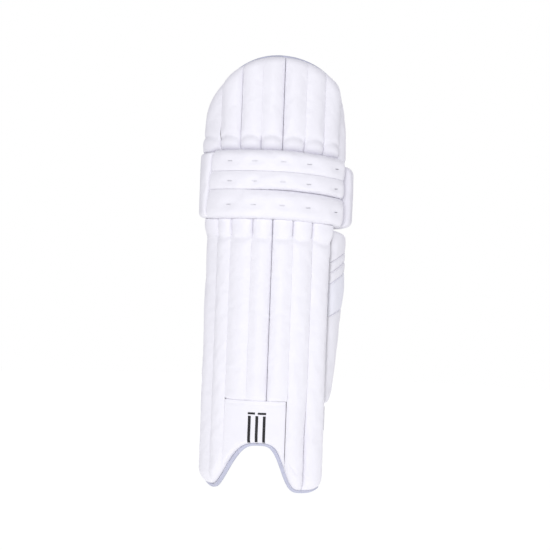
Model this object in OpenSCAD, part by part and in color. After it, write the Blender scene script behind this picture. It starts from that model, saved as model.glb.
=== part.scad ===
// Cricket batting leg pad for the left leg: a quilted front shell of stuffed channels on a curved
// backing, a three-roll knee roll, a hinged top hat, a side wing and three hook-and-loop straps.
// x runs towards the outer side of the leg, the face of the pad looks along -y and z is up. The origin
// is on the axis of the leg, level with the outer foot of the pad.

/* [Shell] */
// Half width of the shin shell at its lining
shell_rx = 98.5; // [94:0.5:104]
// Half depth of the shin shell at its lining
shell_ry = 72; // [70:0.5:76]
// How far the foot of the shell stands forward of its knee
foot_lean = 8; // [0:1:12]
// Height of a stuffed channel above the backing
channel_h = 20; // [16:0.5:22]
// Thickness of the cover leather
skin_t = 1.4; // [1.2:0.1:1.8]
// Height of the hinge line between the shell and the top hat
hinge_z = 589; // [586:1:592]
// Height of the whole pad
pad_h = 751; // [735:1:765]

/* [Instep] */
// Height of the arch over the shoe
arch_h = 80; // [60:1:90]
// Width of the edge binding
binding_w = 6; // [5:0.5:7]
// How much lower the inner foot reaches than the outer one
foot_drop = 8; // [0:1:10]
// Height of the top of the instep panel
instep_top = 158; // [150:1:170]

/* [Knee roll] */
// Heights of the seams of the knee roll, from its lower edge to its upper edge
knee_seams = [468, 517, 548, 585];
// How far the outer end of the knee roll hangs lower
knee_droop = 9; // [0:1:12]
// Thickness of a knee roll bolster
roll_h = 27; // [22:1:30]

/* [Straps] */
// Width of a strap
strap_w = 44; // [38:1:50]
// Thickness of a strap
strap_t = 2.5; // [2:0.1:3]
// Heights of the middle of the ankle, calf and knee straps
strap_z = [120, 352, 500];

/* [Hidden] */

gap = 0.4;                  // air between two neighbouring pieces
lining_t = 1.5;
backing_w = [1.9, 4.4];     // inner and outer face of the backing, out from the lining's inner face
face_w = 4.8;               // where the channels sit
seam_gap = 0.25;            // half of the gap between two channels, in degrees round the leg
arch_x = -17;               // middle of the arch
arch_side = [[55.5, 3], [42.5, 3.5]];   // spread and steepness of the arch, inner and outer side
// Angles of the seams round the leg, from the inner edge to the outer edge; 0 faces forward.
shin_seams = [-96, -61.5, -43.4, -21.6, -3.6, 14.6, 33.2, 56];
top_seams = [-92, -54, -31.8, -12.9, 5.5, 24.5, 43.8, 65, 92];
knee_span = [-66, 70];      // the three rolls, round the leg
knee_slant = 9;             // how many degrees further round their inner ends stand at the top
top_lean = 10;              // how far back the top edge of the top hat leans
// A form is the leg-side surface: centre x, centre y, half width and half depth at two heights.
shin_form = [[0, -foot_lean, shell_rx, shell_ry], [0, 0, shell_rx, shell_ry], [0, hinge_z]];
knee_form = [[-5, 0, shell_rx, shell_ry + 4], [-5, 0, shell_rx, shell_ry + 4], [0, hinge_z]];
top_form = [[-6, 0, shell_rx + 6, shell_ry + 2], [-6, top_lean, shell_rx + 6, shell_ry + 2],
    [hinge_z, pad_h]];
// Cross section of a stuffed channel: position across it and share of its height there.
cross = [[0, 0], [0, 0.5], [0.07, 0.78], [0.22, 0.95], [0.5, 1], [0.78, 0.95], [0.93, 0.78],
    [1, 0.5], [1, 0]];
end_run = 14;               // length over which a channel's end tapers
channel_wide = 34;          // usual width of a channel
roll_back_w = 12;           // back of the three rolls, on the knee's form
end_back_w = 4;             // back of the inner end of the knee roll

function lerp(a, b, t) = a + (b - a) * t;
function flat(rows) = [for (row = rows) for (p = row) p];
function form_at(f, z) = lerp(f[0], f[1], (z - f[2][0]) / (f[2][1] - f[2][0]));
function unit(v) = v / norm(v);
// Point on a form, w outwards from it.
function pt(f, a, z, w) = let (g = form_at(f, z), n = unit([sin(a) / g[2], -cos(a) / g[3]]))
    [g[0] + g[2] * sin(a) + w * n[0], g[1] - g[3] * cos(a) + w * n[1], z];
// Rounded outer corners of the two feet.
function foot_corner(x) = 11 * pow(max(0, (-84 - x) / 18.7), 2.2)
    + 8 * pow(max(0, (x - 64) / 21.6), 2.2);
function arch(x) = let (side = arch_side[x < arch_x ? 0 : 1])
    arch_h * exp(-pow(abs(x - arch_x) / side[0], side[1]));
// Lower outline of the whole pad: two feet with the arch between them.
function outline_low(x) = arch(x) + foot_corner(x)
    - foot_drop * (x < -60 ? pow(sin(min(90, (-60 - x) * 2.4)), 2) : 0);
function outline_slope(x) = let (side = arch_side[x < arch_x ? 0 : 1])
    arch(x) * side[1] * pow(abs(x - arch_x) / side[0], side[1] - 1) / side[0];
// Lower edge of the shell, above the binding.
function shell_low(x) = outline_low(x)
    + (binding_w + gap) * sqrt(1 + pow(outline_slope(x), 2));
// Dome outline of the top hat and the lower edge it hinges over.
function dome(a) = pad_h - (a < 0 ? 103 : 78) * (1 - sqrt(1 - pow(sin(a) / 1.03, 2)));
function top_low(a) = hinge_z + 0.5 + 6 * (1 - cos(a));
function shell_top(a) = hinge_z - 0.5 - 8 * (1 - cos(a));
function droop(a) = -knee_droop * pow(max(0, a) / 68, 1.5);
function knee_inner(z) = knee_span[0]
    + knee_slant * (z - knee_seams[0]) / (knee_seams[3] - knee_seams[0]);

// Side panels bend through three points in plan: front edge, middle and back edge.
function side_xy(c, t) = c[0] * 2 * (t - 0.5) * (t - 1) - c[1] * 4 * t * (t - 1)
    + c[2] * 2 * t * (t - 0.5);
function side_dir(c, t) = unit(c[0] * (4 * t - 3) - c[1] * (8 * t - 4) + c[2] * (4 * t - 1));
function side_pt(c, t, z, w) = let (p = side_xy(c, t), d = side_dir(c, t))
    [p[0] + w * d[1], p[1] - w * d[0], z];
function wing_curve(z) = let (k = min(1, max(0, (z - 150) / 200)))
    [[86, -38], [lerp(88, 107.5, k), lerp(0, 6, k)], [lerp(80, 95, k), lerp(32, 47, k)]];
function flap_curve(z) = [[85.5, -41], [89, -2], [83, 36]];
function cap_curve(z) = [[99.3, -29.5], [108, 9], [97, 47]];
function cap_w(t) = 29 - 16 * pow(t, 1.4);
wing_w = 13;                // thickness of the wing
wing_top_z = 452;           // top of the wing at its front edge
wing_low_z = 152;           // foot of the wing
flap_w = 6;
// Diagonal seams of the wing: their heights at the front edge, and how far they climb backwards.
wing_seams = [wing_low_z, 303, 360, 379, 397, wing_top_z];
wing_climb = [0, 22, 31, 30, 29, -12];
function wing_z(i, t) = wing_seams[i] + wing_climb[i] * t * (2 - t);

// Closed solid between two grids of points of the same size. Rows run up, columns run outwards.
module slab(outer, inner) {
    rows = len(outer) - 1;
    cols = len(outer[0]) - 1;
    n = (rows + 1) * (cols + 1);
    function o(r, c) = r * (cols + 1) + c;
    function i(r, c) = n + o(r, c);
    function quad(a, b, c, d) = [[a, b, c], [a, c, d]];
    faces = concat(
        [for (r = [0:rows - 1], c = [0:cols - 1])
            each quad(o(r, c), o(r + 1, c), o(r + 1, c + 1), o(r, c + 1))],
        [for (r = [0:rows - 1], c = [0:cols - 1])
            for (f = quad(i(r, c), i(r + 1, c), i(r + 1, c + 1), i(r, c + 1))) [f[2], f[1], f[0]]],
        [for (c = [0:cols - 1]) each quad(o(0, c), o(0, c + 1), i(0, c + 1), i(0, c))],
        [for (c = [0:cols - 1])
            each quad(o(rows, c + 1), o(rows, c), i(rows, c), i(rows, c + 1))],
        [for (r = [0:rows - 1]) each quad(o(r + 1, 0), o(r, 0), i(r, 0), i(r + 1, 0))],
        [for (r = [0:rows - 1])
            each quad(o(r, cols), o(r + 1, cols), i(r + 1, cols), i(r, cols))]);
    polyhedron(concat(flat(outer), flat(inner)), faces, convexity = 8);
}

// A stuffed channel as rows of [angle, height, share of its fullness], inset by e. A closed one has a
// rim that comes down to the backing.
function channel_cells(a0, a1, lo, hi, e, closed) =
    let (inset = e / channel_wide, n = len(cross),
        across = closed ? cross : [for (k = [1:n - 2]) cross[k]],
        rows = closed ? [0, 1, 2, 3, 4, 5] : [1, 2, 3, 4])
    [for (r = rows) [for (c = across)
        let (a = lerp(a0 + seam_gap, a1 - seam_gap, lerp(inset, 1 - inset, c[0])),
            z0 = lo(a) + e, z1 = hi(a) - e, run = min(end_run, (z1 - z0) / 3),
            z = [z0, z0, z0 + run, z1 - run, z1, z1][r], rise = [0, 0.55, 1, 1, 0.55, 0][r])
        [a, z, c[1] * rise]]];
function crown(f, cells, h, e) = [for (row = cells) [for (c = row)
    pt(f, c[0], c[1], face_w + (c[2] == 0 ? 0 : h * c[2] - e))]];
function footing(f, cells) = [for (row = cells) [for (c = row) pt(f, c[0], c[1], face_w + 0.1)]];

module channel(f, a0, a1, lo, hi, h)
    slab(crown(f, channel_cells(a0, a1, lo, hi, 0, true), h, 0),
        crown(f, channel_cells(a0, a1, lo, hi, skin_t, true), h, skin_t));
module core(f, a0, a1, lo, hi, h) {
    cells = channel_cells(a0, a1, lo, hi, skin_t + gap, false);
    slab(crown(f, cells, h, skin_t + gap), footing(f, cells));
}

// A curved sheet or pad on a form, between the angles in as and the heights lo(a) and hi(a).
module sheet(f, as, lo, hi, w0, w1, rows = 2)
    slab([for (r = [0:rows]) [for (a = as) pt(f, a, lerp(lo(a), hi(a), r / rows), w1)]],
        [for (r = [0:rows]) [for (a = as) pt(f, a, lerp(lo(a), hi(a), r / rows), w0)]]);
function steps(a0, a1, n) = [for (k = [0:n]) lerp(a0, a1, k / n)];
function seam_steps(seams, n) = concat([for (i = [0:len(seams) - 2], k = [0:n - 1])
    lerp(seams[i], seams[i + 1], k / n)], [seams[len(seams) - 1]]);
function shell_x(a) = pt(shin_form, a, 60, face_w)[0];

// A soft bolster: full in the middle and rounded at all four edges. w0 is its flat side, and its
// inner end may start at another angle at each height.
module bolster(f, a0, a1, lo, hi, w0, w1, cols = 8, start = undef) {
    from = is_undef(start) ? function(z) a0 : start;
    round_r = [[0, 0.45], [0.12, 0.85], [0.5, 1], [0.88, 0.85], [1, 0.45]];
    edge = [[0, 0.5], [0.06, 0.85], [0.2, 1]];
    cs = concat(edge, [for (k = [1:cols - 1]) [lerp(0.2, 0.8, k / cols), 1]],
        [for (k = [2:-1:0]) [1 - edge[k][0], edge[k][1]]]);
    top = [for (r = round_r) [for (c = cs)
        let (a = lerp(from(lerp(lo(a0), hi(a0), r[0])), a1, c[0]))
        pt(f, a, lerp(lo(a), hi(a), r[0]), lerp(w0, w1, r[1] * c[1]))]];
    base = [for (r = round_r) [for (c = cs)
        let (a = lerp(from(lerp(lo(a0), hi(a0), r[0])), a1, c[0]))
        pt(f, a, lerp(lo(a), hi(a), r[0]), w0)]];
    if (w1 > w0) slab(top, base); else slab(base, top);
}

// Foot of a shin channel: the middle three stop above the instep panel.
function channel_low(i, a) = i >= 2 && i <= 4 ? instep_top + gap : shell_low(shell_x(a));
module shin_channel(i) color("white") {
    top = i == 0 ? 462 : 466;
    low = function(a) channel_low(i, a);
    channel(shin_form, shin_seams[i], shin_seams[i + 1], low, function(a) top + droop(a),
        channel_h);
}
module shin_foam_cores() color("lightgrey") for (i = [0:6]) {
    top = i == 0 ? 462 : 466;
    low = function(a) channel_low(i, a);
    core(shin_form, shin_seams[i], shin_seams[i + 1], low, function(a) top + droop(a), channel_h);
}
module shin_backing() color("gainsboro")
    sheet(shin_form, seam_steps(shin_seams, 6), function(a) shell_low(shell_x(a)),
        function(a) shell_top(a), backing_w[0], backing_w[1]);
module shin_lining() color("whitesmoke")
    sheet(shin_form, seam_steps(shin_seams, 6), function(a) shell_low(shell_x(a)),
        function(a) shell_top(a), 0, lining_t);
module instep_panel() color("white") {
    as = steps(shin_seams[2] + seam_gap, shin_seams[5] - seam_gap, 18);
    rise = [[0, 5], [0.04, 9], [0.5, 12], [0.96, 10.5], [1, 6]];
    slab([for (r = rise) [for (a = as)
            pt(shin_form, a, lerp(shell_low(shell_x(a)), instep_top, r[0]), face_w + r[1])]],
        [for (r = rise) [for (a = as)
            pt(shin_form, a, lerp(shell_low(shell_x(a)), instep_top, r[0]), face_w)]]);
}
module instep_binding() color("lightsteelblue")
    sheet(shin_form, seam_steps(shin_seams, 6), function(a) outline_low(shell_x(a)),
        function(a) shell_low(shell_x(a)) - gap, 0, face_w + 4, 1);
module inner_edge_binding() color("white")
    sheet(shin_form, [-98.4, -96.4], function(a) 6, function(a) 458, 0, face_w + 6, 1);

module knee_roll(i) color("white")
    bolster(knee_form, knee_span[0] + seam_gap, knee_span[1] - seam_gap,
        function(a) knee_seams[i] + gap / 2 + droop(a),
        function(a) knee_seams[i + 1] - gap / 2 + droop(a), roll_back_w, roll_back_w + roll_h,
        start = function(z) knee_inner(z) + seam_gap);
module knee_roll_foam() color("lightgrey") for (i = [0:2])
    sheet(shin_form, steps(-60, 54, 14), function(a) knee_seams[i] + 3 + droop(a),
        function(a) knee_seams[i + 1] - 3 + droop(a), face_w, face_w + 2.8, 1);
function inner_end_w(a) = lerp(28, 40, pow(min(1, (a + 103) / 39), 0.6));
function inner_end_z(r) = lerp(knee_seams[0], knee_seams[3] - 4, r);
function inner_end_steps(z) = steps(-103, knee_inner(z) - seam_gap, 8);
module knee_end_inner() color("white") {
    rise = [[0, 0.5], [0.08, 0.85], [0.5, 1], [0.92, 0.85], [1, 0.5]];
    slab([for (r = rise) let (z = inner_end_z(r[0])) [for (a = inner_end_steps(z))
            pt(knee_form, a, z, lerp(end_back_w, inner_end_w(a), r[1]))]],
        [for (r = rise) let (z = inner_end_z(r[0])) [for (a = inner_end_steps(z))
            pt(knee_form, a, z, end_back_w)]]);
}
module knee_end_outer() color("white") {
    rise = [[0, 0.5], [0.08, 0.85], [0.5, 1], [0.92, 0.85], [1, 0.5]];
    ts = steps(0, 1, 8);
    z0 = knee_seams[0] - knee_droop;
    z1 = knee_seams[3] - knee_droop - 8;
    slab([for (r = rise) [for (t = ts) let (z = lerp(z0, z1, r[0]))
            side_pt(cap_curve(z), t, z, cap_w(t) * r[1])]],
        [for (r = rise) [for (t = ts) let (z = lerp(z0, z1, r[0]))
            side_pt(cap_curve(z), t, z, 0)]]);
}
// Bar tacks that quilt each roll: five to a roll.
tack_a = [-37.5, -16.5, 5.7, 26.4, 53];
module knee_tacks() color("silver") for (i = [0:2], a = tack_a) {
    z = (knee_seams[i] + knee_seams[i + 1]) / 2 - 2 + droop(a);
    w = roll_back_w + roll_h + gap;
    as = steps(a - 1.6, a + 1.6, 1);
    sheet(knee_form, as, function(b) z - 1, function(b) z + 1, w, w + 0.8, 1);
}

module shin_bolster(a0, a1) color("white")
    bolster(shin_form, a0, a1, function(a) 96, function(a) 440, -gap, -13, 4);
module knee_bolster(z0, z1) color("white")
    bolster(shin_form, -62, 54, function(a) z0, function(a) z1, -gap, -17, 8);
module knee_cup(a0, a1) color("white")
    bolster(shin_form, a0, a1, function(a) 500, function(a) 535, -gap, -12, 2);
module strap_anchors() color("white") for (z = strap_z)
    sheet(shin_form, steps(-98.5, -84, 3), function(a) z - strap_w / 2 - 3,
        function(a) z + strap_w / 2 + 3, -1.8, -0.3, 1);

module top_channel(i) color("white")
    channel(top_form, top_seams[i], top_seams[i + 1], function(a) top_low(a) + 2,
        function(a) dome(a) - binding_w - 2, channel_h - 1);
module top_side_panel() color("white") {
    as = steps(top_seams[7] + seam_gap, top_seams[8], 4);
    rise = [[0, 0.7], [0.08, 1], [0.5, 0.8], [0.85, 0.45], [1, 0.2]];
    slab([for (r = rise) [for (a = as)
            pt(top_form, a, lerp(top_low(a) + 2, dome(a) - binding_w - 1, r[0]),
                face_w + 15 * r[1])]],
        [for (r = rise) [for (a = as)
            pt(top_form, a, lerp(top_low(a) + 2, dome(a) - binding_w - 1, r[0]), face_w)]]);
}
module top_foam_cores() color("lightgrey") for (i = [0:6])
    core(top_form, top_seams[i], top_seams[i + 1], function(a) top_low(a) + 2,
        function(a) dome(a) - binding_w - 2, channel_h - 1);
module top_backing() color("gainsboro")
    sheet(top_form, seam_steps(top_seams, 6), function(a) top_low(a),
        function(a) dome(a) - binding_w - gap, backing_w[0], backing_w[1]);
module top_lining() color("whitesmoke")
    sheet(top_form, seam_steps(top_seams, 6), function(a) top_low(a),
        function(a) dome(a) - binding_w - gap, 0, lining_t);
module top_binding() color("lightsteelblue")
    sheet(top_form, seam_steps(top_seams, 6), function(a) dome(a) - binding_w,
        function(a) dome(a), 0, face_w + 3, 1);
module top_bolster() color("white")
    bolster(top_form, -50, 42, function(a) 622, function(a) 690, -gap, -10, 6);

// The wing: five pads between diagonal seams, on one lining.
function wing_thick(t) = wing_w * (1 - 0.25 * pow(abs(2 * t - 1), 3));
function pad_z(i, t, r) = lerp(wing_z(i, t) + gap / 2, wing_z(i + 1, t) - gap / 2, r);
module wing_pads() color("white") for (i = [0:4]) {
    ts = steps(0.02, 0.98, 8);
    rise = [[0, 0.6], [0.1, 0.95], [0.5, 1], [0.9, 0.95], [1, 0.6]];
    slab([for (r = rise) [for (t = ts) let (z = pad_z(i, t, r[0]))
            side_pt(wing_curve(z), t, z, lerp(1.6, wing_thick(t), r[1]))]],
        [for (r = rise) [for (t = ts) let (z = pad_z(i, t, r[0]))
            side_pt(wing_curve(z), t, z, 1.6)]]);
}
module side_sheet(curve, t0, t1, w0, w1, lo, hi, cols = 8, rows = 4) {
    ts = steps(t0, t1, cols);
    slab([for (r = [0:rows]) [for (t = ts) let (z = lerp(lo(t), hi(t), r / rows))
            side_pt(curve(z), t, z, w1)]],
        [for (r = [0:rows]) [for (t = ts) let (z = lerp(lo(t), hi(t), r / rows))
            side_pt(curve(z), t, z, w0)]]);
}
module wing_lining() color("whitesmoke")
    side_sheet(function(z) wing_curve(z), 0.02, 0.98, 0, 1.2, function(t) wing_z(0, t),
        function(t) wing_z(5, t), 8, 5);
module wing_binding() color("white")
    side_sheet(function(z) wing_curve(z), 0.985, 1.02, 0, 9, function(t) wing_low_z + 2,
        function(t) wing_z(5, 1) - 2, 1, 5);
module ankle_flap() color("white")
    side_sheet(function(z) flap_curve(z), 0, 1, 0, flap_w, function(t) 62 + 20 * pow(t, 3),
        function(t) 149 - 2 * t, 8, 2);

// What each strap lands on, from the ankle up: its plan curve and the outer face where the tab grips.
landing_curve = [function(z) flap_curve(z), function(z) wing_curve(z), function(z) cap_curve(z)];
landing_w = [function(t) flap_w, function(t) wing_thick(t), function(t) cap_w(t)];
grip = [0.7, 0.97];         // stretch of the landing that the tab covers
function landing_pt(k, t, z, w) = let (c = landing_curve[k](strap_z[k]))
    side_pt(c, t, z, landing_w[k](t) + w);
module landing_patch(k, w0, w1, trim) {
    ts = steps(grip[0], grip[1] - 0.07, 4);
    zs = [strap_z[k] - strap_w / 2 + trim, strap_z[k] + strap_w / 2 - trim];
    slab([for (z = zs) [for (t = ts) landing_pt(k, t, z, w1)]],
        [for (z = zs) [for (t = ts) landing_pt(k, t, z, w0)]]);
}
// The end of each strap, past the back edge of what it lands on.
function strap_end(k) = let (c = landing_curve[k](strap_z[k]), d = side_dir(c, 1),
    e = landing_pt(k, 1, 0, 2)) [e[0] + 13 * d[0] - 6, e[1] + 13 * d[1]];
function strap_start(k) = let (p = pt(shin_form, -99.5, strap_z[k], -3)) [p[0], p[1]];
function bezier(p, t) = p[0] * pow(1 - t, 3) + 3 * p[1] * t * pow(1 - t, 2)
    + 3 * p[2] * t * t * (1 - t) + p[3] * pow(t, 3);
function bezier_dir(p, t) = unit((p[1] - p[0]) * pow(1 - t, 2) + 2 * (p[2] - p[1]) * t * (1 - t)
    + (p[3] - p[2]) * t * t);
function strap_path(k) = let (s = strap_start(k), e = strap_end(k))
    [s, s + [-4, 58], e + [-40, 18], e];
// The tab turns round the back edge and lies along the landing's outer face.
function tab_points(k) = let (e = strap_end(k), q = landing_pt(k, 1, 0, 3.9),
        d = side_dir(landing_curve[k](strap_z[k]), 1), tip = [q[0], q[1]],
        turn = [e + [1.6, -0.6], e + [7, -3], tip + 9 * d, tip])
    concat([for (t = [0, 0.25, 0.5, 0.75]) bezier(turn, t)],
        [for (k2 = [0:5]) let (t = lerp(1, grip[0] + 0.02, k2 / 5), p = landing_pt(k, t, 0, 3.9))
            [p[0], p[1]]]);
// An upright ribbon along a line in plan.
module ribbon(line, z, width, thick) {
    n = len(line) - 1;
    dirs = [for (i = [0:n]) unit(line[min(n, i + 1)] - line[max(0, i - 1)])];
    function side(i, s, h) = [line[i][0] - s * dirs[i][1] * thick / 2,
        line[i][1] + s * dirs[i][0] * thick / 2, h];
    slab([for (h = [z - width / 2, z + width / 2]) [for (i = [n:-1:0]) side(i, 1, h)]],
        [for (h = [z - width / 2, z + width / 2]) [for (i = [n:-1:0]) side(i, -1, h)]]);
}
module strap(k) color("white")
    ribbon([for (i = [0:16]) bezier(strap_path(k), i / 16)], strap_z[k], strap_w, strap_t);
module tab(k) color("white") ribbon(tab_points(k), strap_z[k], strap_w, strap_t);
module hook_patch(k) color("grey") landing_patch(k, 1.5, 2.4, 3);
module loop_patch(k) color("lightgrey") landing_patch(k, 0.2, 1.2, 1);
module calf_pad() color("white") {
    p = strap_path(1);
    line = [for (i = [4:12]) let (t = i / 16, d = bezier_dir(p, t))
        bezier(p, t) + [d[1], -d[0]] * 5.5];
    ribbon(line, strap_z[1], 78, 7.5);
}

shin_channel(0);  // shin_channel_1
shin_channel(1);  // shin_channel_2
shin_channel(2);  // shin_channel_3
shin_channel(3);  // shin_channel_4
shin_channel(4);  // shin_channel_5
shin_channel(5);  // shin_channel_6
shin_channel(6);  // shin_channel_7
shin_foam_cores();
shin_backing();
shin_lining();
instep_panel();
instep_binding();
inner_edge_binding();
knee_roll(0);  // knee_roll_lower
knee_roll(1);  // knee_roll_middle
knee_roll(2);  // knee_roll_upper
knee_roll_foam();
knee_end_inner();
knee_end_outer();
knee_tacks();
shin_bolster(-74, -36);  // shin_bolster_1
shin_bolster(-26, 12);  // shin_bolster_2
shin_bolster(22, 56);  // shin_bolster_3
knee_bolster(452, 494);  // knee_bolster_lower
knee_bolster(541, 578);  // knee_bolster_upper
knee_cup(-66, -38);  // knee_cup_inner
knee_cup(32, 56);  // knee_cup_outer
ankle_flap();
loop_patch(2);  // knee_loop_patch
loop_patch(0);  // ankle_loop_patch
strap_anchors();
top_channel(0);  // top_channel_1
top_channel(1);  // top_channel_2
top_channel(2);  // top_channel_3
top_channel(3);  // top_channel_4
top_channel(4);  // top_channel_5
top_channel(5);  // top_channel_6
top_channel(6);  // top_channel_7
top_side_panel();
top_foam_cores();
top_backing();
top_lining();
top_binding();
top_bolster();
wing_pads();
wing_lining();
wing_binding();
loop_patch(1);  // calf_loop_patch
strap(0);  // ankle_strap
tab(0);  // ankle_tab
hook_patch(0);  // ankle_hook_patch
strap(1);  // calf_strap
tab(1);  // calf_tab
hook_patch(1);  // calf_hook_patch
calf_pad();
strap(2);  // knee_strap
tab(2);  // knee_tab
hook_patch(2);  // knee_hook_patch
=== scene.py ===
"""Looks of a cricket batting leg pad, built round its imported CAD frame.

Shapes are worked out in millimetres on the same leg surfaces as the CAD and become metres when a
mesh is made. A point on a surface is (u, z, w): u is an angle round the leg in degrees on a Form, or
a share of the way back on a Panel; z is the height; w is the distance outwards from the leg side.
"""
import math

import bmesh
import bpy
import numpy as np
from mathutils import Matrix, Vector
from mathutils.bvhtree import BVHTree


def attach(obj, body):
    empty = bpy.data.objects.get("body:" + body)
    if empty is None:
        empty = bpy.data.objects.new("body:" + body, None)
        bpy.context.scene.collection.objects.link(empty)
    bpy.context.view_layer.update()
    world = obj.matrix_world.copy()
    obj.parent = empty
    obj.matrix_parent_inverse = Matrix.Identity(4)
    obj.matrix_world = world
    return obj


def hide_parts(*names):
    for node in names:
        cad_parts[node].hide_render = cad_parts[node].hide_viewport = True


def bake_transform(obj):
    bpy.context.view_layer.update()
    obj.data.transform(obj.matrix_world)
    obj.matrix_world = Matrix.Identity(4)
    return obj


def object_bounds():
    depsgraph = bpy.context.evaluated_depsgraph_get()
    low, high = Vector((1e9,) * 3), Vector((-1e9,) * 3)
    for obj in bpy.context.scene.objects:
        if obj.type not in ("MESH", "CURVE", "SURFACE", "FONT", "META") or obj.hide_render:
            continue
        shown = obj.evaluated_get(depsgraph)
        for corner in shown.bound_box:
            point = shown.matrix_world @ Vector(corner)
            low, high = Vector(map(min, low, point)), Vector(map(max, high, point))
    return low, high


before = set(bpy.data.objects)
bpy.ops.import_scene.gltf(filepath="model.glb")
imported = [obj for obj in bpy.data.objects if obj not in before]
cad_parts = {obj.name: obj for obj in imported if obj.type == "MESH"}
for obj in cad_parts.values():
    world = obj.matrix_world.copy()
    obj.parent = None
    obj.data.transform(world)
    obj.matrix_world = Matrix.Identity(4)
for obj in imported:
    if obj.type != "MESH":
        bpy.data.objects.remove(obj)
cad_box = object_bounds()
MM = 0.001

# ---------------------------------------------------------------------------------------------
# Sizes shared with the CAD, in millimetres and degrees
# ---------------------------------------------------------------------------------------------
SHELL_RX, SHELL_RY = 98.5, 72
FOOT_LEAN = 8
CHANNEL_H = 20
HINGE_Z = 589
PAD_H = 751
ARCH_H = 80
ARCH_X = -17
BINDING_W = 6
FOOT_DROP = 8
INSTEP_TOP = 158
KNEE_SEAMS = [468, 517, 548, 585]
KNEE_DROOP = 9
ROLL_H = 27
ROLL_BACK_W = 12
STRAP_W, STRAP_T = 44, 2.5
STRAP_Z = {"ankle": 120, "calf": 352, "knee": 500}
FACE_W = 4.8
SHIN_SEAMS = [-96, -61.5, -43.4, -21.6, -3.6, 14.6, 33.2, 56]
TOP_SEAMS = [-92, -54, -31.8, -12.9, 5.5, 24.5, 43.8, 65, 92]
KNEE_SPAN = [-66, 70]
SHIN_COVER_TOP, SHIN_CREASE_Z = 467.9, 434
HAT_COVER_LOW, HAT_CREASE_Z = 582.5, 611
DOME_MARGIN = 3.2
FOOT_TUCK = 0.9
KNEE_SLANT = 9
TACK_ANGLES = [-37.5, -16.5, 5.7, 26.4, 53]
WING_SEAMS = [152, 303, 360, 379, 397, 452]
WING_CLIMB = [0, 22, 31, 30, 29, -12]
WING_W = 13
FLAP_W = 6


# ---------------------------------------------------------------------------------------------
# Surfaces and outlines
# ---------------------------------------------------------------------------------------------
def lerp(a, b, t):
    return a + (b - a) * t


def smooth(low, high, x):
    """0 below low, 1 above high and an even curve between them."""
    t = np.clip((x - low) / (high - low), 0, 1)
    return t * t * (3 - 2 * t)


def bell(x, middle, width):
    return np.exp(-(((x - middle) / width) ** 2))


class Form:
    """A leg surface: an ellipse in plan whose centre and half widths change between two heights."""

    def __init__(self, low, high, z_low, z_high):
        self.low, self.high, self.z_low, self.z_high = low, high, z_low, z_high
        self.radius = (low[2] + low[3]) / 2

    def at(self, u, z, w):
        u, z, w = np.broadcast_arrays(*(np.asarray(v, float) for v in (u, z, w)))
        k = (z - self.z_low) / (self.z_high - self.z_low)
        cx, cy, rx, ry = (lerp(a, b, k) for a, b in zip(self.low, self.high))
        sin, cos = np.sin(np.radians(u)), np.cos(np.radians(u))
        nx, ny = sin / rx, -cos / ry
        length = np.hypot(nx, ny)
        return np.stack([cx + rx * sin + w * nx / length, cy - ry * cos + w * ny / length, z], -1)

    def run(self, u):
        """Length round the surface, in millimetres."""
        return np.radians(u) * self.radius


class Panel:
    """A side panel that bends in plan through three points: front edge, middle and back edge."""

    def __init__(self, points):
        self.points = points

    def at(self, u, z, w):
        u, z, w = np.broadcast_arrays(*(np.asarray(v, float) for v in (u, z, w)))
        (ax, ay), (bx, by), (cx, cy) = self.points(z)
        ka, kb, kc = 2 * (u - 0.5) * (u - 1), -4 * u * (u - 1), 2 * u * (u - 0.5)
        da, db, dc = 4 * u - 3, 4 - 8 * u, 4 * u - 1
        dx, dy = ax * da + bx * db + cx * dc, ay * da + by * db + cy * dc
        length = np.hypot(dx, dy)
        x, y = ax * ka + bx * kb + cx * kc, ay * ka + by * kb + cy * kc
        return np.stack([x + w * dy / length, y - w * dx / length, z], -1)

    def run(self, u):
        return np.asarray(u, float) * 88

    def back(self, z):
        """Where the panel's back edge is in plan, and which way it faces there."""
        edge = self.at(1.0, z, 0.0)[:2]
        ahead = edge - self.at(0.999, z, 0.0)[:2]
        return edge, ahead / np.hypot(*ahead)


def wing_points(z):
    k = np.clip((z - 150) / 200, 0, 1)
    return (86, -38), (lerp(88, 107.5, k), lerp(0, 6, k)), (lerp(80, 95, k), lerp(32, 47, k))


SHIN = Form((0, -FOOT_LEAN, SHELL_RX, SHELL_RY), (0, 0, SHELL_RX, SHELL_RY), 0, HINGE_Z)
KNEE = Form((-5, 0, SHELL_RX, SHELL_RY + 4), (-5, 0, SHELL_RX, SHELL_RY + 4), 0, HINGE_Z)
TOP = Form((-6, 0, SHELL_RX + 6, SHELL_RY + 2), (-6, 10, SHELL_RX + 6, SHELL_RY + 2), HINGE_Z, PAD_H)
WING = Panel(wing_points)
FLAP = Panel(lambda z: ((85.5, -41), (89, -2), (83, 36)))
CAP = Panel(lambda z: ((99.3, -29.5), (108, 9), (97, 47)))


def arch_sides(x):
    inner = x < ARCH_X
    return np.where(inner, 55.5, 42.5), np.where(inner, 3.0, 3.5)


def foot_corner(x):
    """Rounded outer corners of the two feet."""
    inner = 11 * (np.maximum(0, -84 - x) / 18.7) ** 2.2
    return inner + 8 * (np.maximum(0, x - 64) / 21.6) ** 2.2


def outline_low(x):
    """Lower outline of the pad: two feet with the arch over the shoe between them."""
    x = np.asarray(x, float)
    wide, steep = arch_sides(x)
    inner_foot = np.sin(np.radians(np.clip((-60 - x) * 2.4, 0, 90))) ** 2
    arch = ARCH_H * np.exp(-((np.abs(x - ARCH_X) / wide) ** steep))
    return arch + foot_corner(x) - FOOT_DROP * inner_foot


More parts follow.
